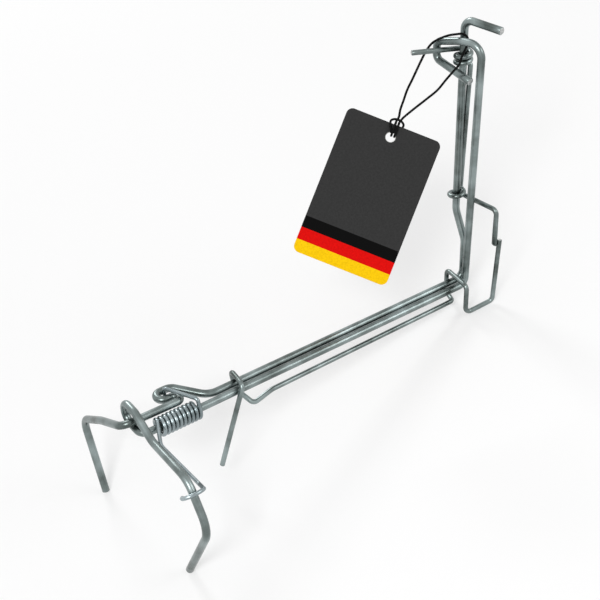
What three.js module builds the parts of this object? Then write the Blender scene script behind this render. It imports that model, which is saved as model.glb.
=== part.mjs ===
import * as THREE from 'three';

// Wire vole trap, shown set, with a card tag on a string. Millimetres, +Z up.
// Trap axes: X runs along the two long bars from the jaws to the uprights, Y goes away from the
// moving jaw, Z follows the uprights. The jaw wire's straight shaft is the line Y = 0, Z = 0.
// The whole trap is then pitched until it stands on its two jaw feet and its trigger bracket.

// Wire sizes and clearances
const thickWire = 3.0;
const thinWire = 2.0;
const springWire = 1.25;
const stringWidth = 0.9;
const snugGap = 0.3;
const barGap = 0.45;
const thickSides = 10;
const thinSides = 8;
const springSides = 5;
const springSteps = 8;
const cordSides = 8;
const bendStep = Math.PI / 9;
const fullTurn = 360;
const quarterTurn = fullTurn / 4;

// Places along the trap that several wires share
const jawPlane = -153;
const barRise = 1.0;
const barSide = Math.sqrt((thickWire + barGap) ** 2 - barRise ** 2);
const railSide = 5.05;
const railRise = 3.3;
const standRise = -48.2;

// Frame wire: fixed leg, rail over the shaft, eye for the spring, bar, rear upright and handle
const frame = {
  legX: -158, footSide: 31.4, kneeSide: 42.1, kneeRise: -18.8, kneeBend: 7,
  shoulderSide: 24, shoulderRise: -6.9, shoulderBend: 20, railBend: 4,
  eyeBack: -133, eyeFront: -139.6, eyeSide: 9.5, eyeWidth: 5.1, eyeRise: 2.4,
  railEndSide: 4.9, railEndRise: 3.0, bendLead: 0.04, sweepStart: -132.6, sweepEnd: -122.6, sweepBend: 5,
  joinBend: 8, uprightX: 2.4, cornerBend: 4, jogStart: 19.5, jogEnd: 32, jogBend: 8,
  topX: 1.8, topSide: 8.6, topRise: 113.4, topBend: 4, handleX: 4.2, handleSide: -8.4,
};

// Jaw wire: moving leg, hairpin round the rail, shaft, bar, front upright and catch loop
const jaw = {
  footSide: -25, kneeSide: -43.5, kneeRise: -13, kneeBend: 11,
  shoulderSide: -32, shoulderRise: 2.8, shoulderBend: 9, riseStart: -8, riseBend: 8,
  hairpinTop: 8.5, hairpinStart: 3.5, hairpinFar: 11.9, hairpinBend: 3.9, heelBend: 3.5,
  uprightX: 0.8, cornerBend: 3.5, uprightLean: -3.2, loopRise: 107.2, loopNearBend: 5,
  archX: -1.7, archSide: 6, archRise: 106.5, archBend: 12, loopGap: 0.6, loopTop: 103.6, loopTopBend: 3,
  loopFoot: 96.6, loopFootBend: 2.6, loopEndLean: 0.6, loopEndSide: -1.6, loopEndRise: 93.4,
};

// Release wire: stub through the catch loop, wrap and ring round the rear upright, arm, tongue
const release = {
  stubLength: 19.6, stubGap: 0.5, stubSlope: 1.0, stubTurn: 20, wrapRise: 100.7, wrapPitch: 2.4,
  rodTurn: -24, rodFootTurn: 20, rodGap: 0.55, rodBend: 1.3, rodDrop: 0.16,
  ringRise: 40.3, ringDrop: 0.13, ringLead: 1.4, armTurn: 6.7, armSide: -9.6, tongueBend: 2.2, tongueEnd: 21.6,
  flatTop: 34, flatBottom: 31, flatThin: 0.62, flatWide: 1.4,
};

// Trigger wire: leg, wrap round both bars, run, rear eye round both bars, bracket and tip
const trigger = {
  legX: -123.4, legSide: -3.1, legRise: -29.4, wrapX: -111.4, wrapLean: 2.2, wrapGap: 0.8,
  sideGap: 1.0, wrapUnder: -5, bend: 2.2, sagX: -105.5, sagRise: -9.8, runX: -97,
  runRise: -7.2, runBend: 8, runEndX: -5.5, runEndRise: -6, eyeX: -3.2, eyeGap: 1.6, eyeNear: -7.5,
  dropX: -5, bracketRise: -8.5, riserFoot: -5.2, footX: 7, tipGap: 0.4, riserSide: -10.4, tipRise: 23.8,
};

// Torsion spring: close coil round the shaft, arm into the eye and tail round the jaw leg
const spring = {
  front: -146.3, back: -129.9, turns: 9 + 5 / 6, startTurn: 90, shaftGap: 1.02,
  armX: -129.7, armSide: -0.8, armGap: 0.35, armBend: 1.6, hookX: -136.4, hookBend: 1.2,
  hookEnd: -0.6, tailStart: -9, tailBend: 6, tailSide: -35, ringWide: 4.2, ringSweep: 215, ringSteps: 10,
};

// Card tag, drawn flat and then turned, and the tie ring and hitch at its top
const tag = {
  width: 38, height: 58.5, thickness: 0.8, corner: 2.5, holeRadius: 1.85, holeDown: 5.1,
  hole: [-28, 14.5, 72.1], azimuth: -34, tilt: 54.3, roll: -24, arcSteps: 14, edgeRound: 0.14,
};
const tie = { side: 0.4, reach: 2.5, depth: 1.5, steps: 20, archHalf: 2.6, archRise: 1.5, archSteps: 12 };

// Route of the string, from the hitch round the catch loop's top and back to the hitch
const stringRoute = [
  [-22.6, 16.2, 78.3], [-21.3, 17.0, 80.6], [-19.3, 17.7, 83.3], [-17.1, 18.2, 87.0],
  [-15.0, 17.8, 90.9], [-12.9, 17.4, 95.0], [-10.5, 17.6, 98.3], [-8.2, 17.7, 101.1],
  [-6.8, 16.2, 103.9], [-5.6, 13.2, 106.3], [-4.5, 10.4, 108.0], [-3.0, 8.1, 108.8],
  [-0.6, 6.8, 108.7], [1.0, 5.9, 107.1], [0.6, 5.2, 104.9], [-1.8, 4.2, 103.3],
  [-3.9, 3.3, 101.6], [-5.4, 2.8, 99.4], [-7.4, 3.6, 97.0], [-9.6, 4.8, 94.0],
  [-11.9, 6.9, 89.6], [-14.7, 9.2, 86.2], [-18.1, 11.8, 82.5], [-20.6, 13.9, 79.5],
  [-21.8, 15.0, 77.8],
];

const radians = THREE.MathUtils.degToRad;
const place = (x, y, z) => new THREE.Vector3(x, y, z);

// A wire's centreline, sampled exactly at the points that it is given
class Centreline extends THREE.Curve {
  constructor(points) {
    super();
    this.points = points;
  }

  getPoint(share) {
    const last = this.points.length - 1;
    const at = Math.min(Math.floor(share * last), last - 1);
    return this.points[at].clone().lerp(this.points[at + 1], share * last - at);
  }

  getSpacedPoints() {
    return this.points;
  }

  getTangentAt(share) {
    const last = this.points.length - 1;
    const at = Math.round(share * last);
    const before = this.points[at].clone().sub(this.points[Math.max(at - 1, 0)]).normalize();
    const after = this.points[Math.min(at + 1, last)].clone().sub(this.points[at]).normalize();
    return before.add(after).normalize();
  }
}

// Corners are [x, y, z, bend radius]; the first and the last have no bend
function bentLine(corners) {
  const points = [];
  corners.forEach(([x, y, z, bend], i) => {
    const corner = place(x, y, z);
    if (!bend) {
      points.push(corner);
      return;
    }
    const back = place(...corners[i - 1].slice(0, 3)).sub(corner);
    const onward = place(...corners[i + 1].slice(0, 3)).sub(corner);
    const turn = Math.PI - back.angleTo(onward);
    back.normalize();
    onward.normalize();
    const middle = back.clone().add(onward).normalize();
    const centre = corner.clone().addScaledVector(middle, bend / Math.cos(turn / 2));
    const start = corner.clone().addScaledVector(back, bend * Math.tan(turn / 2)).sub(centre);
    const axis = onward.clone().cross(back).normalize().negate();
    const steps = Math.max(2, Math.ceil(turn / bendStep));
    for (let s = 0; s <= steps; s += 1) {
      const spoke = start.clone().applyAxisAngle(axis, -turn * s / steps);
      points.push(centre.clone().add(spoke));
    }
  });
  return points;
}

// Turns about a vertical line, clockwise from above, falling by pitch each turn
function fallingTurns(centre, radius, fromDegrees, sweepDegrees, top, pitch) {
  const steps = Math.ceil(radians(sweepDegrees) / (bendStep * 1.5));
  return Array.from({ length: steps + 1 }, (_, s) => {
    const swept = sweepDegrees * s / steps;
    const angle = radians(fromDegrees - swept);
    const rise = top - pitch * swept / fullTurn;
    return place(
      centre.x + radius * Math.cos(angle), centre.y + radius * Math.sin(angle), rise,
    );
  });
}

function roundSection(radius, sides) {
  const corners = Array.from({ length: sides }, (_, i) => {
    const angle = 2 * Math.PI * i / sides;
    return new THREE.Vector2(radius * Math.cos(angle), radius * Math.sin(angle));
  });
  return new THREE.Shape(corners);
}

function wire(points, diameter, sides) {
  const settings = { steps: points.length - 1, extrudePath: new Centreline(points) };
  return new THREE.ExtrudeGeometry(roundSection(diameter / 2, sides), settings);
}

const waxed = () => new THREE.MeshStandardMaterial({ color: 0x1c1c1c, roughness: 0.9 });

const steel = () => new THREE.MeshStandardMaterial({
  color: 0xb4b9b7, metalness: 1, roughness: 0.32,
});

function piece(name, geometry, material) {
  const mesh = new THREE.Mesh(geometry, material);
  mesh.name = name;
  return mesh;
}

const halfThick = thickWire / 2;
const halfThin = thinWire / 2;
const standTurn = Math.atan2(
  trigger.riserFoot - halfThin - standRise, trigger.footX - jawPlane,
);
const frameFoot = standRise + (frame.legX - jawPlane) * Math.tan(standTurn);

function frameWire() {
  const f = frame;
  return wire(bentLine([
    [f.legX, f.footSide, frameFoot],
    [f.legX, f.kneeSide, f.kneeRise, f.kneeBend],
    [f.legX, f.shoulderSide, f.shoulderRise, f.shoulderBend],
    [f.legX, railSide, railRise, f.railBend],
    [f.eyeBack, f.railEndSide, f.railEndRise, (f.eyeSide - f.railEndSide) / 2 - f.bendLead],
    [f.eyeBack, f.eyeSide, f.eyeRise, (f.eyeSide - f.railEndSide) / 2 - f.bendLead],
    [f.eyeFront, f.eyeSide, f.eyeRise, f.eyeWidth / 2 - f.bendLead],
    [f.eyeFront, f.eyeSide + f.eyeWidth, f.eyeRise, f.eyeWidth / 2 - f.bendLead],
    [f.sweepStart, f.eyeSide + f.eyeWidth, f.eyeRise, f.sweepBend],
    [f.sweepEnd, barSide, barRise, f.joinBend],
    [f.uprightX, barSide, barRise, f.cornerBend],
    [f.uprightX, barSide, f.jogStart, f.jogBend],
    [f.topX, f.topSide, f.jogEnd, f.jogBend],
    [f.topX, f.topSide, f.topRise, f.topBend],
    [f.handleX, f.handleSide, f.topRise],
  ]), thickWire, thickSides);
}

const upright = { x: frame.topX, y: frame.topSide };
const wrapRadius = halfThick + halfThin + snugGap;

// The loop's far end stands clear of the wrap, so the wrap can turn behind the loop's foot
const loopX = upright.x - wrapRadius - halfThin - halfThick - jaw.loopGap;

// The stub leaves the wrap along its tangent and passes just inside the far end of the loop
const stubWay = place(-Math.cos(radians(release.stubTurn)), Math.sin(radians(release.stubTurn)), 0);
const wrapStart = quarterTurn - release.stubTurn;
const stubRoot = place(
  upright.x + wrapRadius * Math.cos(radians(wrapStart)),
  upright.y + wrapRadius * Math.sin(radians(wrapStart)), release.wrapRise,
);
const stubAtLoop = stubRoot.y + (stubRoot.x - loopX) * Math.tan(radians(release.stubTurn));
const loopFar = stubAtLoop + (halfThick + halfThin + release.stubGap) / Math.cos(radians(release.stubTurn));

// The arm leaves the ring along its tangent, so its end is known from the upright
const armRootX = upright.x + wrapRadius * Math.cos(radians(release.armTurn));
const armRootSide = upright.y + wrapRadius * Math.sin(radians(release.armTurn));
const armRun = armRootSide - release.armSide;
const armEndX = armRootX + armRun * Math.tan(radians(release.armTurn));

function jawWire() {
  const j = jaw;
  return wire(bentLine([
    [jawPlane, j.footSide, standRise],
    [jawPlane, j.kneeSide, j.kneeRise, j.kneeBend],
    [jawPlane, j.shoulderSide, j.shoulderRise, j.shoulderBend],
    [jawPlane, j.riseStart, j.shoulderRise, j.riseBend],
    [jawPlane, j.hairpinStart, j.hairpinTop, j.hairpinBend],
    [jawPlane, j.hairpinFar, j.hairpinTop, j.hairpinBend],
    [jawPlane, j.hairpinFar, 0, j.hairpinBend],
    [jawPlane, 0, 0, j.heelBend],
    [j.uprightX, 0, 0, j.cornerBend],
    [0, j.uprightLean, j.loopRise, j.loopNearBend],
    [j.archX, j.archSide, j.archRise, j.archBend],
    [loopX, loopFar, j.loopTop, j.loopTopBend],
    [loopX, loopFar, j.loopFoot, j.loopFootBend],
    [loopX + j.loopEndLean, j.loopEndSide, j.loopEndRise],
  ]), thickWire, thickSides);
}

function releaseWire() {
  const r = release;
  const wrapSweep = wrapStart + fullTurn * 2;
  const rodRadius = halfThick + halfThin + r.rodGap;
  const around = (radius, degrees, rise) => [
    upright.x + radius * Math.cos(radians(degrees)),
    upright.y + radius * Math.sin(radians(degrees)), rise,
  ];
  const stubEnd = stubRoot.clone().addScaledVector(stubWay, r.stubLength);
  stubEnd.z += r.stubSlope;
  const wrap = fallingTurns(upright, wrapRadius, wrapStart, wrapSweep, r.wrapRise, r.wrapPitch);
  const wrapFoot = r.wrapRise - r.wrapPitch * wrapSweep / fullTurn;
  const rodHead = around(rodRadius, r.rodTurn, wrapFoot - r.rodDrop);
  const ringFrom = r.rodFootTurn;
  const rodFoot = [...around(rodRadius, ringFrom, r.ringRise), r.rodBend];
  const ringSweep = fullTurn + ringFrom - r.armTurn;
  const ringLeadTurn = THREE.MathUtils.radToDeg(r.ringLead / wrapRadius);
  const ring = fallingTurns(
    upright, wrapRadius, ringFrom - ringLeadTurn, ringSweep - ringLeadTurn,
    r.ringRise - r.ringDrop, r.wrapPitch,
  );
  const armRoot = ring[ring.length - 1];
  const rod = bentLine([
    wrap[wrap.length - 1].toArray(), [...rodHead, r.rodBend], rodFoot, ring[0].toArray(),
  ]);
  const arm = bentLine([
    armRoot.toArray(), [armEndX, r.armSide, armRoot.z, r.tongueBend],
    [armEndX, r.armSide, r.tongueEnd],
  ]);
  arm.splice(-1, 0, place(armEndX, r.armSide, r.flatTop), place(armEndX, r.armSide, r.flatBottom));
  const geometry = wire(
    [stubEnd, ...wrap, ...rod.slice(1, -1), ...ring, ...arm.slice(1)], thinWire, thinSides,
  );
  return flattened(geometry, armEndX, r.armSide);
}

// The tongue's lower end is pressed flat: thinner along X and wider along Y
function flattened(geometry, x, y) {
  const r = release;
  const points = geometry.attributes.position;
  for (let i = 0; i < points.count; i += 1) {
    const outX = points.getX(i) - x;
    const outY = points.getY(i) - y;
    if (Math.hypot(outX, outY) < thinWire && points.getZ(i) <= r.flatBottom) {
      points.setX(i, x + outX * r.flatThin);
      points.setY(i, y + outY * r.flatWide);
    }
  }
  geometry.computeVertexNormals();
  return geometry;
}

function triggerWire() {
  const t = trigger;
  const over = barRise + halfThick + halfThin + t.wrapGap;
  const far = barSide + halfThick + halfThin + t.sideGap;
  const eyeOver = barRise + halfThick + halfThin + t.eyeGap;
  return wire(bentLine([
    [t.legX, t.legSide, t.legRise],
    [t.wrapX, t.legSide, over, t.bend],
    [t.wrapX + halfThin, far, over, t.bend],
    [t.wrapX + t.wrapLean, far, t.wrapUnder, t.bend],
    [t.sagX, 0, t.sagRise, t.bend],
    [t.runX, 0, t.runRise, t.runBend],
    [t.runEndX, 0, t.runEndRise, t.bend],
    [t.eyeX, far, t.runEndRise, t.bend],
    [t.eyeX, far, eyeOver, t.bend],
    [t.dropX, t.eyeNear, eyeOver, t.bend],
    [t.dropX, t.eyeNear, t.bracketRise, t.bend],
    [t.footX, t.riserSide, t.riserFoot, t.bend],
    [armEndX + halfThin * release.flatThin + halfThin + t.tipGap, t.riserSide, t.tipRise],
  ]), thinWire, thinSides);
}

function torsionSpring() {
  const s = spring;
  const coilRadius = halfThick + springWire / 2 + s.shaftGap;
  const steps = Math.round(s.turns * springSteps);
  const coil = Array.from({ length: steps + 1 }, (_, i) => {
    const angle = radians(s.startTurn) - 2 * Math.PI * s.turns * i / steps;
    const along = s.front + (s.back - s.front) * i / steps;
    return place(along, coilRadius * Math.cos(angle), coilRadius * Math.sin(angle));
  });
  const legWay = place(0, jaw.kneeSide - jaw.shoulderSide, jaw.kneeRise - jaw.shoulderRise);
  const share = (s.tailSide - jaw.shoulderSide) / legWay.y;
  const ringCentre = place(jawPlane, jaw.shoulderSide, jaw.shoulderRise).addScaledVector(legWay, share);
  const front = place(1, 0, 0).cross(legWay).normalize().negate();
  const ringDeep = halfThick + springWire / 2 + barGap;
  const ring = Array.from({ length: s.ringSteps + 1 }, (_, i) => {
    const angle = radians(s.ringSweep) * (1 - i / s.ringSteps);
    return ringCentre.clone().addScaledVector(front, ringDeep * Math.sin(angle))
      .add(place(s.ringWide * Math.cos(angle), 0, 0));
  });
  const armRise = frame.railEndRise + halfThick + springWire / 2 + s.armGap;
  const hookSide = frame.eyeSide + frame.eyeWidth / 2;
  const arm = bentLine([
    coil[steps].toArray(), [s.armX, s.armSide, armRise, s.armBend],
    [s.hookX, hookSide, armRise, s.hookBend], [s.hookX, hookSide, s.hookEnd],
  ]);
  const tailGap = halfThick + springWire / 2 + snugGap;
  const tail = bentLine([
    ring[s.ringSteps].toArray(),
    [jawPlane + tailGap, s.tailStart, jaw.shoulderRise - tailGap, s.tailBend],
    coil[0].toArray(),
  ]);
  reportLeastGap(coil);
  return wire(
    [...ring, ...tail.slice(1, -1), ...coil, ...arm.slice(1)], springWire, springSides,
  );
}

// Least distance between the wire's surfaces, at least half a turn apart along the coil
function reportLeastGap(coil) {
  let least = Infinity;
  coil.forEach((point, i) => {
    for (let k = i + springSteps / 2; k < coil.length; k += 1) {
      least = Math.min(least, point.distanceTo(coil[k]) - springWire);
    }
  });
  console.log(`torsion_spring least gap to itself ${least.toFixed(2)} mm`);
}

function cardShape() {
  const { width, height, corner, holeRadius, holeDown } = tag;
  const top = holeDown;
  const foot = holeDown - height;
  const side = width / 2;
  const card = new THREE.Shape();
  card.moveTo(-side + corner, foot);
  card.absarc(side - corner, foot + corner, corner, -Math.PI / 2, 0);
  card.absarc(side - corner, top - corner, corner, 0, Math.PI / 2);
  card.absarc(-side + corner, top - corner, corner, Math.PI / 2, Math.PI);
  card.absarc(-side + corner, foot + corner, corner, Math.PI, Math.PI * 1.5);
  card.holes.push(new THREE.Path().absarc(0, 0, holeRadius, 0, Math.PI * 2, true));
  return card;
}

// Card, tie ring and the hitch's arch are drawn with the hole at the origin and the card's face up
function tagGroup() {
  const card = new THREE.ExtrudeGeometry(cardShape(), {
    depth: tag.thickness - 2 * tag.edgeRound, curveSegments: tag.arcSteps, bevelSegments: 2,
    bevelThickness: tag.edgeRound, bevelSize: tag.edgeRound, bevelOffset: -tag.edgeRound,
  });
  card.translate(0, 0, tag.edgeRound - tag.thickness / 2);
  const bandCentre = (tag.holeRadius + tag.holeDown) / 2;
  const tieRing = new THREE.TorusGeometry(1, stringWidth / 2, cordSides, tie.steps);
  const points = tieRing.attributes.position;
  for (let i = 0; i < points.count; i += 1) {
    const angle = Math.atan2(points.getY(i), points.getX(i));
    const out = Math.hypot(points.getX(i), points.getY(i)) - 1;
    const along = (tie.reach + out) * Math.cos(angle);
    const deep = (tie.depth + out) * Math.sin(angle);
    points.setXYZ(i, tie.side + points.getZ(i), bandCentre + along, deep);
  }
  tieRing.computeVertexNormals();
  const archFoot = bandCentre + tie.reach + stringWidth + snugGap - tie.archRise;
  const arch = Array.from({ length: tie.archSteps + 1 }, (_, i) => {
    const angle = Math.PI * i / tie.archSteps;
    return place(
      tie.side - tie.archHalf * Math.cos(angle), archFoot + tie.archRise * Math.sin(angle), 0,
    );
  });
  const paper = new THREE.MeshStandardMaterial({ color: 0x242424, roughness: 0.6 });
  const rolled = new THREE.Group();
  rolled.rotation.z = radians(tag.roll);
  rolled.add(
    piece('hang_tag', card, paper), piece('tag_tie', tieRing, waxed()),
    piece('string_knot', wire(arch, stringWidth, cordSides), waxed()),
  );
  const tilted = new THREE.Group();
  tilted.rotation.x = radians(tag.tilt);
  tilted.add(rolled);
  const turned = new THREE.Group();
  turned.rotation.z = radians(tag.azimuth);
  turned.position.set(...tag.hole);
  turned.add(tilted);
  return turned;
}

function tagString() {
  return wire(stringRoute.map((p) => place(...p)), stringWidth, cordSides);
}

const metal = [
  piece('frame_wire', frameWire(), steel()),
  piece('jaw_wire', jawWire(), steel()),
  piece('torsion_spring', torsionSpring(), steel()),
  piece('trigger_wire', triggerWire(), steel()),
  piece('release_wire', releaseWire(), steel()),
];

const stance = new THREE.Group();
stance.rotation.y = standTurn;
stance.add(...metal, piece('tag_string', tagString(), waxed()), tagGroup());

const trap = new THREE.Group();
trap.add(stance);
trap.updateMatrixWorld(true);
const box = new THREE.Box3();
metal.forEach((mesh) => box.union(new THREE.Box3().setFromObject(mesh, true)));
const middle = box.getCenter(place(0, 0, 0));
stance.position.set(-middle.x, -middle.y, -box.min.z);
trap.updateMatrixWorld(true);

export default trap;
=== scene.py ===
"""A wire vole trap, shown set, with a card tag on a string.

Shapes are worked out in trap axes, in millimetres: X runs along the bars from the jaws to the
uprights, Y goes away from the moving jaw and Z follows the uprights. stand() then turns them into
the standing frame, in metres.
"""
import math
from types import SimpleNamespace

import bpy
import numpy as np
from mathutils import Matrix, Vector


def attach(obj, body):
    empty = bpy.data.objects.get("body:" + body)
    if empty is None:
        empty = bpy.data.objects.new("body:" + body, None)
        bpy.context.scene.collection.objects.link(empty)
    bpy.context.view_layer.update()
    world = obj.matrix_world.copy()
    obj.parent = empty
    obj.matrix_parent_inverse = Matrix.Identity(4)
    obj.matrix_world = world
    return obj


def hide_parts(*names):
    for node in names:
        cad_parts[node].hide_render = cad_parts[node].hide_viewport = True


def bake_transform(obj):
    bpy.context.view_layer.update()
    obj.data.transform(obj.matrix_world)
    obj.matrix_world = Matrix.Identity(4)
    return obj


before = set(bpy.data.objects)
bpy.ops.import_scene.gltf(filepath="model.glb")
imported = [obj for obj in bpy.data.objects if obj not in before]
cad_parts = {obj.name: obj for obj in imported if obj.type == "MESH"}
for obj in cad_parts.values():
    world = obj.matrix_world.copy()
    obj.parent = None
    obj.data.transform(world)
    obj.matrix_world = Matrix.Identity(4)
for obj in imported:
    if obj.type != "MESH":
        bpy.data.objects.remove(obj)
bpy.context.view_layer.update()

MM = 0.001
FULL_TURN = 360
STAND_TURN = 0.2567083
STAND_SHIFT = np.array([66.28436, 0.42616, 8.53375])
STAND_RISE = -48.2

# Wire sizes and clearances; THIN_ON_THICK is between the centrelines of two wires that touch
THICK_WIRE = 3.0
THIN_WIRE = 2.0
SPRING_WIRE = 1.5
STRING_WIDTH = 0.9
THIN_ON_THICK = (THICK_WIRE + THIN_WIRE) / 2
SPRING_ON_THICK = (THICK_WIRE + SPRING_WIRE) / 2
SNUG_GAP = 0.3
BAR_GAP = 0.45

# How finely wires and string are drawn, with angles in degrees
WIRE_SIDES = 28
STRING_SIDES = 12
BEND_STEP = 5
LEAST_BEND_POINTS = 3
TURN_STEP = 8
LONGEST_STEP = 4.0
ROUTE_STEPS = 8
WIRE_EDGE = 0.22
STRING_EDGE = 0.15
SEAM_LATE_SHARE = 0.75
SEAM_EARLY_SHARE = 0.25

# The two long bars lie side by side, the frame's a little above the shaft's line
BAR_RISE = 1.0
BAR_SIDE = math.sqrt((THICK_WIRE + BAR_GAP) ** 2 - BAR_RISE ** 2)

# Frame wire: fixed leg, rail over the shaft, eye for the spring, bar, rear upright and handle
FRAME = SimpleNamespace(
    leg_x=-158.0, foot_side=31.4, knee_side=42.1, knee_rise=-18.8, knee_bend=7,
    shoulder_side=24, shoulder_rise=-6.9, shoulder_bend=20, rail_side=5.05, rail_rise=3.3,
    rail_bend=4, rail_end_side=4.9, rail_end_rise=3.0, eye_back=-133, eye_front=-139.6,
    eye_side=9.5, eye_width=5.1, eye_rise=2.4, bend_lead=0.04, sweep_start=-132.6,
    sweep_end=-122.6, sweep_bend=5, join_bend=8, upright_x=2.4, corner_bend=4, jog_start=19.5,
    jog_end=32, jog_bend=8, top_rise=113.4, top_bend=4, handle_x=4.2, handle_side=-8.4,
)
UPRIGHT = np.array([1.8, 8.6])

# Jaw wire: moving leg, hairpin round the rail, shaft, bar, front upright and catch loop
JAW = SimpleNamespace(
    plane=-153.0, foot_side=-25, knee_side=-43.5, knee_rise=-13, knee_bend=11,
    shoulder_side=-32, shoulder_rise=2.8, shoulder_bend=9, rise_start=-8, rise_bend=8,
    hairpin_start=3.5, hairpin_far=11.9, hairpin_top=8.5, hairpin_bend=3.9, heel_bend=3.5,
    upright_x=0.8, corner_bend=3.5, upright_lean=-3.2, loop_rise=107.2, loop_near_bend=5,
    arch_x=-1.7, arch_side=6, arch_rise=106.5, arch_bend=12, loop_gap=0.6, loop_top=103.6,
    loop_top_bend=3, loop_foot=96.6, loop_foot_bend=2.6, loop_end_lean=0.6, loop_end_side=-1.6,
    loop_end_rise=93.4,
)

# Release wire: stub through the catch loop, wrap and ring round the rear upright, arm and tongue
RELEASE = SimpleNamespace(
    stub_turn=20, stub_gap=0.5, stub_length=19.6, stub_slope=1.0, wrap_rise=100.7,
    wrap_pitch=2.4, wrap_turns=2, rod_turn=-24, rod_foot_turn=20, rod_gap=0.55, rod_bend=1.3,
    rod_drop=0.16, ring_rise=40.3, ring_drop=0.13, ring_lead=1.4, arm_turn=6.7, arm_side=-9.6,
    tongue_bend=2.2, tongue_end=21.6, flat_top=34, flat_bottom=31, flat_thin=0.62, flat_wide=1.4,
)
WRAP_RADIUS = THIN_ON_THICK + SNUG_GAP
LOOP_X = UPRIGHT[0] - WRAP_RADIUS - THIN_ON_THICK - JAW.loop_gap

# Trigger wire: leg, wrap round both bars, run, rear eye round both bars, bracket and tip
TRIGGER = SimpleNamespace(
    leg_x=-123.4, leg_side=-3.1, leg_rise=-29.4, wrap_x=-111.4, wrap_lean=2.2, wrap_gap=0.8,
    side_gap=1.0, wrap_under=-5, bend=2.2, sag_x=-105.5, sag_rise=-9.8, run_x=-97,
    run_rise=-7.2, run_bend=8, run_end_x=-5.5, run_end_rise=-6, eye_x=-3.2, eye_gap=1.6,
    eye_near=-7.5, drop_x=-5, bracket_rise=-8.5, foot_x=7, riser_side=-10.4, riser_foot=-5.2,
    tip_gap=0.4, tip_rise=23.8,
)

# Torsion spring: close coil round the shaft, arm into the eye and tail round the jaw leg
SPRING = SimpleNamespace(
    front=-146.3, back=-129.9, turns=9 + 5 / 6, steps=24, radius=3.145, arm_x=-129.7,
    arm_side=-0.8, arm_gap=0.35, arm_bend=1.6, hook_x=-136.4, hook_bend=1.2, hook_end=-0.6,
    tail_start=-9, tail_bend=6, tail_side=-35, ring_wide=4.2, ring_sweep=215, ring_points=34,
)

# Card tag: its hole's place, and its turns about Z, then X, then Z again, in degrees
TAG = SimpleNamespace(
    height=58.5, thickness=0.8, hole_radius=1.85, hole_down=5.1, hole=(-28.0, 14.5, 72.1),
    turns=(-34, 54.3, -24), band_height=4.7, punched_edge=0.12,
)

# Hitch: two strands from the hole over the card's top edge, and the arch that they hold down
HITCH = SimpleNamespace(
    side=0.4, reach=2.5, depth=1.5, strand_apart=0.62, strand_past=0.3, strand_bow=0.25,
    strand_points=61, arch_half=2.6, arch_rise=1.5, arch_depth=0.5, arch_points=41,
    leg_points=12, leg_run=4.3, leg_in=1.7, face_gap=0.1, end_past=0.2, end_depth=0.5,
)
BAND_MIDDLE = (TAG.hole_radius + TAG.hole_down) / 2
ARCH_FOOT = BAND_MIDDLE + HITCH.reach + STRING_WIDTH + SNUG_GAP - HITCH.arch_rise

# The string's route, from the hitch round the catch loop's top and back to the hitch
STRING_ROUTE = [
    (-22.6, 16.2, 78.3), (-21.3, 17.0, 80.6), (-19.3, 17.7, 83.3), (-17.1, 18.2, 87.0),
    (-15.0, 17.8, 90.9), (-12.9, 17.4, 95.0), (-10.5, 17.6, 98.3), (-8.2, 17.7, 101.1),
    (-6.8, 16.2, 103.9), (-5.6, 13.2, 106.3), (-4.5, 10.4, 108.0), (-3.0, 8.1, 108.8),
    (-0.6, 6.8, 108.7), (1.0, 5.9, 107.1), (0.6, 5.2, 104.9), (-1.8, 4.2, 103.3),
    (-3.9, 3.3, 101.6), (-5.4, 2.8, 99.4), (-7.4, 3.6, 97.0), (-9.6, 4.8, 94.0),
    (-11.9, 6.9, 89.6), (-14.7, 9.2, 86.2), (-18.1, 11.8, 82.5), (-20.6, 13.9, 79.5),
    (-21.8, 15.0, 77.8),
]

# Camera, fitted to the slopes of the bars and uprights in the photograph
CAMERA = SimpleNamespace(
    place=(-284.8, -300.3, 288.7), azimuth=34, elevation=35.7, roll=2.41, lens=72, sensor=36,
    clip_start=0.01,
)

# Studio, in metres
LAMP_AIM = (0, 0, 0.05)
FLOOR_REACH = 6
FLOOR_PALE = 0.9
FLOOR_ROUGHNESS = 0.9
FLOOR_GLOW = 1.0
FLOOR_GLOW_SHARE = 0.45
WORLD_ON_OBJECT = 0.5
WORLD_SEEN = 1.0

# Finishes: shares are where a pattern's tones begin and end, and a bump's depth is in metres
ZINC = SimpleNamespace(
    cloud_scale=95, cloud_detail=6, cloud_shares=(0.32, 0.68), line_stretch=(0.05, 34, 1),
    line_scale=1.6, line_detail=5, line_shares=(0.38, 0.62), line_shade=(0.72, 0.74, 0.73),
    line_weight=0.75, shinier_by=0.07, duller_by=0.15, bump=0.22, depth=0.00012,
)
CUT = SimpleNamespace(
    color=(0.5, 0.51, 0.5), roughness=0.42, grain_scale=1800, grain_shares=(0.35, 0.65),
    dark=(0.34, 0.35, 0.35), pale=(0.62, 0.63, 0.62), bump=0.4, depth=0.0001,
)
WAX = SimpleNamespace(
    level=0.004, roughness=0.6, specular=0.08, twist_stretch=(1.3, 2, 1), twist_slant=0.6,
    twist_scale=1.0, twist_waver=0.6, twist_shares=(0.2, 0.9), dark=0.0015, pale=0.007,
    bump=0.5, depth=0.0001,
)
CARD = SimpleNamespace(
    level=0.02, roughness=0.7, specular=0.06, gold=(0.98, 0.6, 0.002), red=(0.75, 0.003, 0.002),
    black_level=0.001, charcoal_level=0.037, raw_edge=(0.45, 0.45, 0.43, 1), fibre_scale=1400,
    fibre_detail=5, fibre_shares=(0.3, 0.7), fibre_shade=0.8, bump=0.15, depth=0.00008,
)


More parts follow.
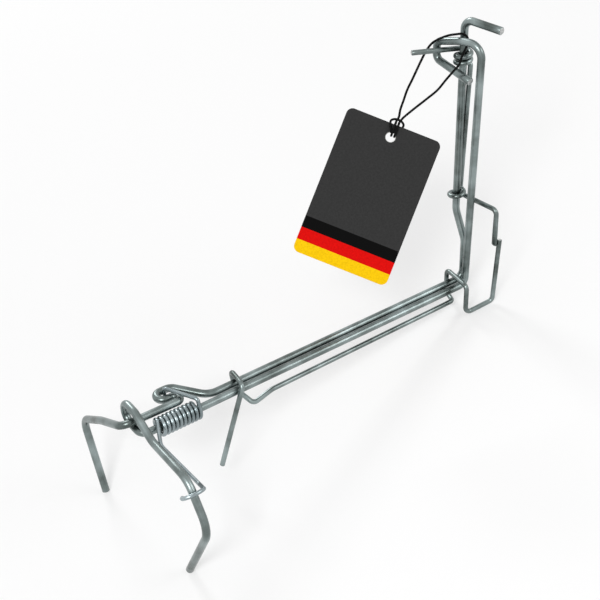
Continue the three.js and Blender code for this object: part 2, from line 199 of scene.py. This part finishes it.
def stand(points):
    """Trap axes in millimetres to the standing frame in metres: a turn about Y, then a shift."""
    cos, sin = math.cos(STAND_TURN), math.sin(STAND_TURN)
    turn = np.array([[cos, 0, sin], [0, 1, 0], [-sin, 0, cos]])
    return (np.asarray(points, float) @ turn.T + STAND_SHIFT) * MM


def tag_place(points):
    """The tag's own flat axes (across, up, off the face) to trap axes: three turns and a shift."""
    azimuth, tilt, roll = (math.radians(a) for a in TAG.turns)
    turn = Matrix.Rotation(azimuth, 3, "Z") @ Matrix.Rotation(tilt, 3, "X")
    turn = turn @ Matrix.Rotation(roll, 3, "Z")
    return np.asarray(points, float) @ np.array(turn).T + np.array(TAG.hole)


def unit(vector):
    return vector / np.linalg.norm(vector)


def eased(share):
    """A share from 0 to 1 that starts and ends slowly: three times its square less twice its cube."""
    return share * share * (3 - 2 * share)


def bent_line(corners):
    """Straight runs joined by arcs: each corner is (x, y, z, bend radius), with no bend at an end."""
    corners = [tuple(c) + (0,) * (4 - len(c)) for c in corners]
    points = []
    for i, (x, y, z, bend) in enumerate(corners):
        corner = np.array([x, y, z], float)
        if not bend:
            points.append(corner[None])
            continue
        back = unit(np.array(corners[i - 1][:3]) - corner)
        onward = unit(np.array(corners[i + 1][:3]) - corner)
        turn = math.pi - math.acos(np.clip(back @ onward, -1, 1))
        centre = corner + unit(back + onward) * bend / math.cos(turn / 2)
        first = unit(corner + back * bend * math.tan(turn / 2) - centre)
        count = max(LEAST_BEND_POINTS, math.ceil(turn / math.radians(BEND_STEP)))
        angles = np.linspace(0, turn, count)[:, None]
        points.append(centre + bend * (first * np.cos(angles) - back * np.sin(angles)))
    return np.vstack(points)


def round_upright(radius, degrees):
    """The place at a radius and an angle round the rear upright, seen from above."""
    angle = math.radians(degrees)
    return UPRIGHT[0] + radius * math.cos(angle), UPRIGHT[1] + radius * math.sin(angle)


def falling_turns(radius, start, sweep, top, pitch):
    """A helix about the rear upright, clockwise from above, falling by pitch each turn."""
    swept = np.linspace(0, sweep, math.ceil(sweep / TURN_STEP))
    angle = np.radians(start - swept)
    return np.column_stack([
        UPRIGHT[0] + radius * np.cos(angle), UPRIGHT[1] + radius * np.sin(angle),
        top - pitch * swept / FULL_TURN,
    ])


def with_long_runs_split(points):
    """The same line with no step longer than LONGEST_STEP."""
    steps = np.diff(points, axis=0)
    counts = np.maximum(1, np.ceil(np.linalg.norm(steps, axis=1) / LONGEST_STEP)).astype(int)
    runs = [p + s * (np.arange(n) / n)[:, None] for p, s, n in zip(points, steps, counts)]
    return np.vstack(runs + [points[-1:]])


def smooth_route(points):
    """A Catmull-Rom curve through given points."""
    p = np.vstack([2 * points[0] - points[1], points, 2 * points[-1] - points[-2]])
    t = (np.arange(ROUTE_STEPS) / ROUTE_STEPS)[:, None]
    a, b, c, d = p[:-3, None], p[1:-2, None], p[2:-1, None], p[3:, None]
    curve = 0.5 * (2 * b + (c - a) * t + (2 * a - 5 * b + 4 * c - d) * t ** 2
                   + (3 * b - a - 3 * c + d) * t ** 3)
    return np.vstack([curve.reshape(-1, 3), points[-1:]])


def carried_frames(points):
    """The way ahead and two directions across it at each point, carried along without twisting."""
    ahead = np.gradient(points, axis=0)
    ahead /= np.linalg.norm(ahead, axis=1)[:, None]
    start = np.eye(3)[np.argmin(np.abs(ahead[0]))]
    across = [unit(start - ahead[0] * (start @ ahead[0]))]
    for way in ahead[1:]:
        across.append(unit(across[-1] - way * (across[-1] @ way)))
    across = np.array(across)
    return ahead, across, np.cross(ahead, across)


def tube(points, width, sides, edge):
    """A round section carried along a line, with each cut end's edge broken by a small chamfer.

    Returns points, quads, end fans and the (along, around) pair of each point.
    """
    points = with_long_runs_split(points)
    ahead, across, third = carried_frames(points)
    radius = np.full(len(points), width / 2)
    first = [points[0], points[0] + ahead[0] * edge]
    last = [points[-1] - ahead[-1] * edge, points[-1]]
    points = np.vstack([first, points[1:-1], last])
    across = np.vstack([across[:1], across, across[-1:]])
    third = np.vstack([third[:1], third, third[-1:]])
    radius = np.concatenate([[width / 2 - edge], radius, [width / 2 - edge]])
    angle = np.linspace(0, 2 * math.pi, sides, endpoint=False)
    ring = across[:, None] * np.cos(angle)[:, None] + third[:, None] * np.sin(angle)[:, None]
    verts = points[:, None] + ring * radius[:, None, None]
    rows, total = len(points), len(points) * sides
    i, j = np.meshgrid(np.arange(rows - 1), np.arange(sides), indexing="ij")
    k = (j + 1) % sides
    quads = np.stack([i * sides + j, i * sides + k, (i + 1) * sides + k, (i + 1) * sides + j], -1)
    j = np.arange(sides)
    k = (j + 1) % sides
    low = np.stack([k, j, np.full(sides, total)], -1)
    high = np.stack([total - sides + j, total - sides + k, np.full(sides, total + 1)], -1)
    verts = np.vstack([verts.reshape(-1, 3), points[:1], points[-1:]])
    along = np.concatenate([[0], np.cumsum(np.linalg.norm(np.diff(points, axis=0), axis=1))])
    grid = np.stack(np.meshgrid(along, angle / (2 * math.pi), indexing="ij"), -1).reshape(-1, 2)
    grid = np.vstack([grid, [[0, 0], [along[-1], 0]]])
    return verts, quads.reshape(-1, 4), np.vstack([low, high]), grid


def make_piece(name, verts, quads, fans, grid, side_material, end_material=None):
    """A mesh object in the standing frame, smooth along its sides and flat at its cut ends.

    Its UV map holds millimetres along the wire and the share of the way round it, and a face that
    crosses the seam gets a share past 1 there.
    """
    mesh = bpy.data.meshes.new(name)
    mesh.from_pydata(stand(verts).tolist(), [], quads.tolist() + fans.tolist())
    sizes = np.concatenate([np.full(len(quads), 4), np.full(len(fans), 3)])
    corners = np.concatenate([quads.ravel(), fans.ravel()]).astype(int)
    uv = grid[corners].copy()
    face = np.repeat(np.arange(len(sizes)), sizes)
    top = np.zeros(len(sizes))
    np.maximum.at(top, face, uv[:, 1])
    wraps = (top[face] > SEAM_LATE_SHARE) & (uv[:, 1] < SEAM_EARLY_SHARE)
    uv[:, 1] = np.where(wraps, uv[:, 1] + 1, uv[:, 1])
    layer = mesh.uv_layers.new(name="wire")
    layer.data.foreach_set("uv", uv.astype(np.float32).ravel())
    mesh.polygons.foreach_set("use_smooth", (sizes == 4))
    mesh.materials.append(side_material)
    if end_material:
        mesh.materials.append(end_material)
        mesh.polygons.foreach_set("material_index", (sizes == 3).astype(np.int32))
    mesh.update()
    piece = bpy.data.objects.new(name, mesh)
    bpy.context.collection.objects.link(piece)
    return piece


def frame_line():
    """The frame wire's corners: its leg, the rail, the open eye, the bar, the upright, the handle."""
    f = FRAME
    foot = STAND_RISE + (f.leg_x - JAW.plane) * math.tan(STAND_TURN)
    inner = (f.eye_side - f.rail_end_side) / 2 - f.bend_lead
    outer = f.eye_width / 2 - f.bend_lead
    eye_far = f.eye_side + f.eye_width
    return bent_line([
        (f.leg_x, f.foot_side, foot),
        (f.leg_x, f.knee_side, f.knee_rise, f.knee_bend),
        (f.leg_x, f.shoulder_side, f.shoulder_rise, f.shoulder_bend),
        (f.leg_x, f.rail_side, f.rail_rise, f.rail_bend),
        (f.eye_back, f.rail_end_side, f.rail_end_rise, inner),
        (f.eye_back, f.eye_side, f.eye_rise, inner),
        (f.eye_front, f.eye_side, f.eye_rise, outer),
        (f.eye_front, eye_far, f.eye_rise, outer),
        (f.sweep_start, eye_far, f.eye_rise, f.sweep_bend),
        (f.sweep_end, BAR_SIDE, BAR_RISE, f.join_bend),
        (f.upright_x, BAR_SIDE, BAR_RISE, f.corner_bend),
        (f.upright_x, BAR_SIDE, f.jog_start, f.jog_bend),
        (*UPRIGHT, f.jog_end, f.jog_bend),
        (*UPRIGHT, f.top_rise, f.top_bend),
        (f.handle_x, f.handle_side, f.top_rise),
    ])


def stub_root():
    """Where the stub leaves the wrap along its tangent."""
    x, y = round_upright(WRAP_RADIUS, FULL_TURN / 4 - RELEASE.stub_turn)
    return np.array([x, y, RELEASE.wrap_rise])


def jaw_line():
    """The jaw wire's corners: its leg, the hairpin, the bar, the upright and the catch loop.

    The loop's far end stands just past the stub, which crosses it at an angle.
    """
    j = JAW
    turn = math.radians(RELEASE.stub_turn)
    root = stub_root()
    reach = (THIN_ON_THICK + RELEASE.stub_gap) / math.cos(turn)
    loop_far = root[1] + (root[0] - LOOP_X) * math.tan(turn) + reach
    return bent_line([
        (j.plane, j.foot_side, STAND_RISE),
        (j.plane, j.knee_side, j.knee_rise, j.knee_bend),
        (j.plane, j.shoulder_side, j.shoulder_rise, j.shoulder_bend),
        (j.plane, j.rise_start, j.shoulder_rise, j.rise_bend),
        (j.plane, j.hairpin_start, j.hairpin_top, j.hairpin_bend),
        (j.plane, j.hairpin_far, j.hairpin_top, j.hairpin_bend),
        (j.plane, j.hairpin_far, 0, j.hairpin_bend),
        (j.plane, 0, 0, j.heel_bend),
        (j.upright_x, 0, 0, j.corner_bend),
        (0, j.upright_lean, j.loop_rise, j.loop_near_bend),
        (j.arch_x, j.arch_side, j.arch_rise, j.arch_bend),
        (LOOP_X, loop_far, j.loop_top, j.loop_top_bend),
        (LOOP_X, loop_far, j.loop_foot, j.loop_foot_bend),
        (LOOP_X + j.loop_end_lean, j.loop_end_side, j.loop_end_rise),
    ])


def arm_end():
    """How far along X the release wire's arm has come, on the ring's tangent, at its tongue."""
    x, y = round_upright(WRAP_RADIUS, RELEASE.arm_turn)
    return x + (y - RELEASE.arm_side) * math.tan(math.radians(RELEASE.arm_turn))


def release_line():
    """The stub, the wrap's helix, the rod, the ring's helix, the arm and the tongue, in turn."""
    r = RELEASE
    start = FULL_TURN / 4 - r.stub_turn
    sweep = start + r.wrap_turns * FULL_TURN
    way = math.radians(r.stub_turn)
    stub = stub_root() + r.stub_length * np.array([-math.cos(way), math.sin(way), 0])
    stub = stub + [0, 0, r.stub_slope]
    wrap = falling_turns(WRAP_RADIUS, start, sweep, r.wrap_rise, r.wrap_pitch)
    wrap_foot = r.wrap_rise - r.wrap_pitch * sweep / FULL_TURN
    lead = math.degrees(r.ring_lead / WRAP_RADIUS)
    ring = falling_turns(
        WRAP_RADIUS, r.rod_foot_turn - lead, FULL_TURN + r.rod_foot_turn - r.arm_turn - lead,
        r.ring_rise - r.ring_drop, r.wrap_pitch,
    )
    rod_radius = THIN_ON_THICK + r.rod_gap
    rod = bent_line([
        wrap[-1],
        (*round_upright(rod_radius, r.rod_turn), wrap_foot - r.rod_drop, r.rod_bend),
        (*round_upright(rod_radius, r.rod_foot_turn), r.ring_rise, r.rod_bend),
        ring[0],
    ])
    end, rise = arm_end(), ring[-1][2]
    arm = bent_line([
        ring[-1], (end, r.arm_side, rise, r.tongue_bend), (end, r.arm_side, r.tongue_end),
    ])
    return np.vstack([stub[None], wrap, rod[1:-1], ring, arm[1:]])


def press_tongue(verts):
    """The tongue's lower end, pressed flat: thinner along X, wider along Y, and easing in."""
    r = RELEASE
    end = arm_end()
    near = np.hypot(verts[:, 0] - end, verts[:, 1] - r.arm_side) < THIN_WIRE
    near = near & (verts[:, 2] < r.flat_top)
    flat = eased(np.clip((r.flat_top - verts[:, 2]) / (r.flat_top - r.flat_bottom), 0, 1) * near)
    pressed = verts.copy()
    pressed[:, 0] = end + (verts[:, 0] - end) * (1 + (r.flat_thin - 1) * flat)
    pressed[:, 1] = r.arm_side + (verts[:, 1] - r.arm_side) * (1 + (r.flat_wide - 1) * flat)
    return np.where(near[:, None], pressed, verts)


def trigger_line():
    """The trigger wire's corners: its leg, the wrap, the run, the rear eye, the bracket, the tip."""
    t = TRIGGER
    over = BAR_RISE + THIN_ON_THICK + t.wrap_gap
    far = BAR_SIDE + THIN_ON_THICK + t.side_gap
    eye_over = BAR_RISE + THIN_ON_THICK + t.eye_gap
    half_thin = THIN_WIRE / 2
    tip = arm_end() + half_thin * RELEASE.flat_thin + half_thin + t.tip_gap
    return bent_line([
        (t.leg_x, t.leg_side, t.leg_rise),
        (t.wrap_x, t.leg_side, over, t.bend),
        (t.wrap_x + half_thin, far, over, t.bend),
        (t.wrap_x + t.wrap_lean, far, t.wrap_under, t.bend),
        (t.sag_x, 0, t.sag_rise, t.bend),
        (t.run_x, 0, t.run_rise, t.run_bend),
        (t.run_end_x, 0, t.run_end_rise, t.bend),
        (t.eye_x, far, t.run_end_rise, t.bend),
        (t.eye_x, far, eye_over, t.bend),
        (t.drop_x, t.eye_near, eye_over, t.bend),
        (t.drop_x, t.eye_near, t.bracket_rise, t.bend),
        (t.foot_x, t.riser_side, t.riser_foot, t.bend),
        (tip, t.riser_side, t.tip_rise),
    ])


def spring_line():
    """The spring: an open oval round the jaw leg, the tail, a helix round the shaft and the arm."""
    s = SPRING
    share = np.linspace(0, 1, round(s.turns * s.steps) + 1)
    angle = math.pi / 2 - 2 * math.pi * s.turns * share
    coil = np.column_stack([
        s.front + (s.back - s.front) * share, s.radius * np.cos(angle), s.radius * np.sin(angle),
    ])
    leg = np.array([0, JAW.knee_side - JAW.shoulder_side, JAW.knee_rise - JAW.shoulder_rise])
    shoulder = np.array([JAW.plane, JAW.shoulder_side, JAW.shoulder_rise])
    centre = shoulder + leg * (s.tail_side - JAW.shoulder_side) / leg[1]
    outward = -unit(np.cross([1, 0, 0], leg))
    swept = np.radians(np.linspace(s.ring_sweep, 0, s.ring_points))[:, None]
    deep = SPRING_ON_THICK + BAR_GAP
    wide = np.array([s.ring_wide, 0, 0])
    ring = centre + deep * outward * np.sin(swept) + wide * np.cos(swept)
    gap = SPRING_ON_THICK + SNUG_GAP
    tail = bent_line([
        ring[-1], (JAW.plane + gap, s.tail_start, JAW.shoulder_rise - gap, s.tail_bend), coil[0],
    ])
    rise = FRAME.rail_end_rise + SPRING_ON_THICK + s.arm_gap
    hook_side = FRAME.eye_side + FRAME.eye_width / 2
    arm = bent_line([
        coil[-1], (s.arm_x, s.arm_side, rise, s.arm_bend),
        (s.hook_x, hook_side, rise, s.hook_bend), (s.hook_x, hook_side, s.hook_end),
    ])
    return np.vstack([ring, tail[1:-1], coil, arm[1:]])


def strand_round_edge(side):
    """A closed oval round the strip between the hole and the edge, bowed a little sideways."""
    angle = np.linspace(0, 2 * math.pi, HITCH.strand_points)
    return tag_place(np.column_stack([
        side + HITCH.strand_bow * np.sin(angle / 2),
        BAND_MIDDLE + (HITCH.reach + HITCH.strand_past) * np.cos(angle),
        HITCH.depth * np.sin(angle),
    ]))


def arch_line():
    """A half ellipse over the edge whose ends run on down both faces of the card to the hole."""
    h = HITCH
    angle = np.linspace(0, math.pi, h.arch_points)
    arch = np.column_stack([
        h.side - h.arch_half * np.cos(angle), ARCH_FOOT + h.arch_rise * np.sin(angle),
        h.arch_depth * np.sin(angle),
    ])
    down = np.linspace(1, 0, h.leg_points)[:, None]
    deep = TAG.thickness / 2 + STRING_WIDTH / 2 + h.face_gap
    near = np.column_stack([
        h.side - h.arch_half + h.leg_in * eased(down), ARCH_FOOT - h.leg_run * down,
        deep * np.sqrt(1 - (1 - down) ** 4),
    ])
    far = near * [-1, 1, -1] + [2 * h.side, 0, 0]
    return tag_place(np.vstack([near[:-1], arch, far[::-1][1:]]))


def string_line():
    """The string's route with an end at each strand of the hitch, made smooth."""
    ends = tag_place([
        (HITCH.side + way * HITCH.strand_apart, BAND_MIDDLE + HITCH.reach + HITCH.end_past,
         HITCH.end_depth)
        for way in (-1, 1)
    ])
    return smooth_route(np.vstack([ends[:1], STRING_ROUTE, ends[1:]]))


def node(tree, kind, **values):
    made = tree.nodes.new(kind)
    for key, value in values.items():
        setattr(made, key, value)
    return made


def feed(tree, socket, given):
    """Links another node's output to the socket, or sets the socket to a plain value."""
    if isinstance(given, bpy.types.NodeSocket):
        tree.links.new(given, socket)
    else:
        socket.default_value = given


def fed_node(tree, kind, inputs, **values):
    """A node whose named inputs are fed."""
    made = node(tree, kind, **values)
    for name, given in inputs.items():
        feed(tree, made.inputs[name], given)
    return made


def new_material(name, color, roughness, metallic=0.0):
    material = bpy.data.materials.new(name)
    material.use_nodes = True
    shader = material.node_tree.nodes["Principled BSDF"]
    shader.inputs["Base Color"].default_value = (*color, 1)
    shader.inputs["Roughness"].default_value = roughness
    shader.inputs["Metallic"].default_value = metallic
    return material, material.node_tree, shader


def object_place(tree):
    return node(tree, "ShaderNodeTexCoord").outputs["Object"]


def wire_place(tree, scale, turn=0):
    """The wire's UV map, stretched by a scale on each axis and turned in its own plane."""
    route = node(tree, "ShaderNodeUVMap", uv_map="wire").outputs["UV"]
    inputs = {"Vector": route, "Scale": scale, "Rotation": (0, 0, turn)}
    return fed_node(tree, "ShaderNodeMapping", inputs).outputs["Vector"]


def noise(tree, place, scale, detail=2):
    inputs = {"Vector": place, "Scale": scale, "Detail": detail}
    return fed_node(tree, "ShaderNodeTexNoise", inputs).outputs["Fac"]


def two_tones(tree, value, shares, dark, pale):
    return ramp(tree, value, list(zip(shares, (dark, pale))))


def ramp(tree, value, stops, mode="LINEAR"):
    """A value turned into colours, with (place, colour) stops."""
    made = node(tree, "ShaderNodeValToRGB")
    made.color_ramp.interpolation = mode
    for i, (place, color) in enumerate(stops):
        stop = made.color_ramp.elements[i] if i < 2 else made.color_ramp.elements.new(place)
        stop.position = place
        stop.color = (*color, 1)
    feed(tree, made.inputs["Fac"], value)
    return made.outputs["Color"]


def gray(level):
    return (level, level, level)


def mixed(tree, factor, low, high, way="MIX"):
    inputs = {"Factor": factor, "A": low, "B": high}
    return fed_node(tree, "ShaderNodeMix", inputs, data_type="RGBA", blend_type=way).outputs["Result"]


def ranged(tree, value, **limits):
    """A value carried from one span to another; the spans are 0 to 1 where no limit is given."""
    inputs = {key.replace("_", " ").title(): limit for key, limit in limits.items()}
    return fed_node(tree, "ShaderNodeMapRange", {"Value": value, **inputs}).outputs["Result"]


def roughen(tree, shader, height, strength, depth):
    """Bumps the shader's surface by a height, to a depth in metres."""
    inputs = {"Height": height, "Strength": strength, "Distance": depth}
    bump = fed_node(tree, "ShaderNodeBump", inputs)
    tree.links.new(bump.outputs["Normal"], shader.inputs["Normal"])


def zinc_finish(name, dull, bright, rough):
    """Bright zinc plate: cloudy spangle, draw lines along the wire and a few duller rub marks."""
    z = ZINC
    material, tree, shader = new_material(name, bright, rough, metallic=1.0)
    cloud = noise(tree, object_place(tree), z.cloud_scale, z.cloud_detail)
    lines = noise(tree, wire_place(tree, z.line_stretch), z.line_scale, z.line_detail)
    tone = two_tones(tree, cloud, z.cloud_shares, dull, bright)
    streak = two_tones(tree, lines, z.line_shares, z.line_shade, gray(1))
    color = mixed(tree, z.line_weight, tone, streak, "MULTIPLY")
    tree.links.new(color, shader.inputs["Base Color"])
    gloss = ranged(tree, cloud, to_min=rough - z.shinier_by, to_max=rough + z.duller_by)
    tree.links.new(gloss, shader.inputs["Roughness"])
    roughen(tree, shader, lines, z.bump, z.depth)
    return material


def cut_finish():
    """Sheared wire ends: bare, brighter steel with a coarse grain."""
    material, tree, shader = new_material("cut_steel", CUT.color, CUT.roughness, metallic=1.0)
    grain = noise(tree, object_place(tree), CUT.grain_scale)
    tone = two_tones(tree, grain, CUT.grain_shares, CUT.dark, CUT.pale)
    tree.links.new(tone, shader.inputs["Base Color"])
    roughen(tree, shader, grain, CUT.bump, CUT.depth)
    return material


def string_finish():
    """Black waxed string with its twist showing as slanting ridges."""
    w = WAX
    material, tree, shader = new_material("waxed_string", gray(w.level), w.roughness)
    shader.inputs["Specular IOR Level"].default_value = w.specular
    route = wire_place(tree, w.twist_stretch, w.twist_slant)
    inputs = {"Vector": route, "Scale": w.twist_scale, "Distortion": w.twist_waver}
    twist = fed_node(tree, "ShaderNodeTexWave", inputs, wave_type="BANDS").outputs["Fac"]
    tone = two_tones(tree, twist, w.twist_shares, gray(w.dark), gray(w.pale))
    tree.links.new(tone, shader.inputs["Base Color"])
    roughen(tree, shader, twist, w.bump, w.depth)
    return material


def card_finish():
    """Printed card: charcoal, with a black, a red and a gold band across its foot.

    The height over the card's foot is the dot product of a point's place and the card's own up
    direction, and the distance from the hole's centre gives the paler punched edge.
    """
    c = CARD
    material, tree, shader = new_material("printed_card", gray(c.level), c.roughness)
    shader.inputs["Specular IOR Level"].default_value = c.specular
    tall = TAG.height * MM
    hole = stand(tag_place([0, 0, 0]))
    up = (stand(tag_place([0, 1, 0])) - hole) / MM
    foot = float(hole @ up) + (TAG.hole_down - TAG.height) * MM
    place = object_place(tree)
    height = node(tree, "ShaderNodeVectorMath", operation="DOT_PRODUCT")
    height.inputs[1].default_value = up
    tree.links.new(place, height.inputs[0])
    share = ranged(tree, height.outputs["Value"], from_min=foot, from_max=foot + tall)
    band = TAG.band_height / TAG.height
    stops = [
        (0.0, c.gold), (band, c.red), (2 * band, gray(c.black_level)),
        (3 * band, gray(c.charcoal_level)),
    ]
    bands = ramp(tree, share, stops, "CONSTANT")
    fibre = noise(tree, place, c.fibre_scale, c.fibre_detail)
    speck = two_tones(tree, fibre, c.fibre_shares, gray(c.fibre_shade), gray(1))
    color = mixed(tree, 1.0, bands, speck, "MULTIPLY")
    reach = node(tree, "ShaderNodeVectorMath", operation="DISTANCE")
    reach.inputs[1].default_value = hole
    tree.links.new(place, reach.inputs[0])
    punched_share = (TAG.hole_radius + TAG.punched_edge) / TAG.height
    reach_share = ranged(tree, reach.outputs["Value"], from_max=tall)
    punched = ramp(tree, reach_share, [(0.0, gray(1)), (punched_share, gray(0))], "CONSTANT")
    tree.links.new(mixed(tree, punched, color, c.raw_edge), shader.inputs["Base Color"])
    roughen(tree, shader, fibre, c.bump, c.depth)
    return material


def make_wire(name, line, width, material, body, replaced, shape=None):
    """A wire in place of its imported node, riding on the body that is given, if one is."""
    verts, quads, fans, grid = tube(line, width, WIRE_SIDES, WIRE_EDGE)
    verts = shape(verts) if shape else verts
    piece = make_piece(name, verts, quads, fans, grid, material, cut)
    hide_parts(replaced)
    if body:
        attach(piece, body)
    return piece


def make_string(name, line, replaced):
    """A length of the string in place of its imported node, riding on the jaw."""
    verts, quads, fans, grid = tube(line, STRING_WIDTH, STRING_SIDES, STRING_EDGE)
    piece = make_piece(name, verts, quads, fans, grid, waxed)
    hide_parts(replaced)
    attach(piece, "jaw")
    return piece


def make_camera():
    """Looks along the fitted direction, turned by the fitted roll."""
    angles = (CAMERA.azimuth, CAMERA.elevation, CAMERA.roll)
    azimuth, elevation, roll = map(math.radians, angles)
    look = np.array([
        math.sin(azimuth) * math.cos(elevation), math.cos(azimuth) * math.cos(elevation),
        -math.sin(elevation),
    ])
    level = np.array([math.cos(azimuth), -math.sin(azimuth), 0])
    plumb = np.cross(level, look)
    right = level * math.cos(roll) - plumb * math.sin(roll)
    up = plumb * math.cos(roll) + level * math.sin(roll)
    origin = stand(np.zeros(3))
    matrix = np.eye(4)
    matrix[:3, :3] = np.array([(stand(axis) - origin) / MM for axis in (right, up, -look)]).T
    matrix[:3, 3] = stand(np.array(CAMERA.place))
    data = bpy.data.cameras.new("camera")
    data.lens = CAMERA.lens
    data.sensor_width = CAMERA.sensor
    data.clip_start = CAMERA.clip_start
    camera = bpy.data.objects.new("camera", data)
    camera.matrix_world = Matrix(matrix.tolist())
    bpy.context.collection.objects.link(camera)
    bpy.context.scene.camera = camera


def make_lamp(name, place, size, power):
    data = bpy.data.lights.new(name, "AREA")
    data.energy = power
    data.size = size
    lamp = bpy.data.objects.new(name, data)
    lamp.location = place
    lamp.rotation_mode = "QUATERNION"
    lamp.rotation_quaternion = (Vector(LAMP_AIM) - Vector(place)).to_track_quat("-Z", "Y")
    bpy.context.collection.objects.link(lamp)


def make_floor():
    """A flat square whose pale paper also glows a little."""
    mesh = bpy.data.meshes.new("floor")
    ways = ((-1, -1), (1, -1), (1, 1), (-1, 1))
    mesh.from_pydata([(x * FLOOR_REACH, y * FLOOR_REACH, 0) for x, y in ways], [], [(0, 1, 2, 3)])
    floor = bpy.data.objects.new("floor", mesh)
    bpy.context.collection.objects.link(floor)
    material, tree, shader = new_material("floor_paper", gray(FLOOR_PALE), FLOOR_ROUGHNESS)
    glow = fed_node(tree, "ShaderNodeEmission", {"Strength": FLOOR_GLOW})
    mixer = fed_node(tree, "ShaderNodeMixShader", {"Fac": FLOOR_GLOW_SHARE})
    tree.links.new(shader.outputs["BSDF"], mixer.inputs[1])
    tree.links.new(glow.outputs["Emission"], mixer.inputs[2])
    tree.links.new(mixer.outputs["Shader"], tree.nodes["Material Output"].inputs["Surface"])
    mesh.materials.append(material)


def make_world():
    """Seen straight on or in a reflection the world is white; it lights the object more softly."""
    world = bpy.data.worlds.new("studio")
    world.use_nodes = True
    bpy.context.scene.world = world
    tree = world.node_tree
    ray = node(tree, "ShaderNodeLightPath")
    background = tree.nodes["Background"]
    seen = ray.outputs["Is Camera Ray"]
    for kind in ("Is Glossy Ray", "Is Transmission Ray"):
        either = node(tree, "ShaderNodeMath", operation="MAXIMUM")
        tree.links.new(seen, either.inputs[0])
        tree.links.new(ray.outputs[kind], either.inputs[1])
        seen = either.outputs["Value"]
    strength = ranged(tree, seen, to_min=WORLD_ON_OBJECT, to_max=WORLD_SEEN)
    tree.links.new(strength, background.inputs["Strength"])
    background.inputs["Color"].default_value = (1, 1, 1, 1)


zinc = zinc_finish("zinc_plate", dull=(0.1, 0.118, 0.112), bright=(0.33, 0.385, 0.385), rough=0.26)
spring_zinc = zinc_finish("spring_zinc", dull=(0.2, 0.24, 0.25), bright=(0.42, 0.48, 0.5), rough=0.2)
cut = cut_finish()
waxed = string_finish()
card = card_finish()

make_wire("frame_wire_bent", frame_line(), THICK_WIRE, zinc, "frame", "frame_wire")
make_wire("jaw_wire_bent", jaw_line(), THICK_WIRE, zinc, "jaw", "jaw_wire")
make_wire("trigger_wire_bent", trigger_line(), THIN_WIRE, zinc, "trigger",
          "trigger_wire")
make_wire("release_wire_bent", release_line(), THIN_WIRE, zinc, "release",
          "release_wire", press_tongue)
coil = make_wire("torsion_spring_wound", spring_line(), SPRING_WIRE, spring_zinc, None,
                 "torsion_spring")
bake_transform(coil)

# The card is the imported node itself, with its printed finish
tag_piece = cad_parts["hang_tag"]
tag_piece.data.materials.clear()
tag_piece.data.materials.append(card)

strands = [
    make_string(f"tie_strand_{word}", strand_round_edge(HITCH.side + way * HITCH.strand_apart),
                "tag_tie")
    for word, way in (("left", -1), ("right", 1))
]
arch = make_string("hitch_arch", arch_line(), "string_knot")
route = string_line()
string = make_string("tag_string_laid", route, "tag_string")

make_camera()
make_floor()
make_world()
make_lamp("key", place=(-0.5, -0.5, 0.9), size=0.35, power=5.5)
make_lamp("fill", place=(0.7, -0.6, 0.5), size=0.5, power=2.5)
make_lamp("rim", place=(0.2, 0.9, 0.7), size=0.3, power=3.5)
bpy.context.scene.view_settings.view_transform = "Standard"
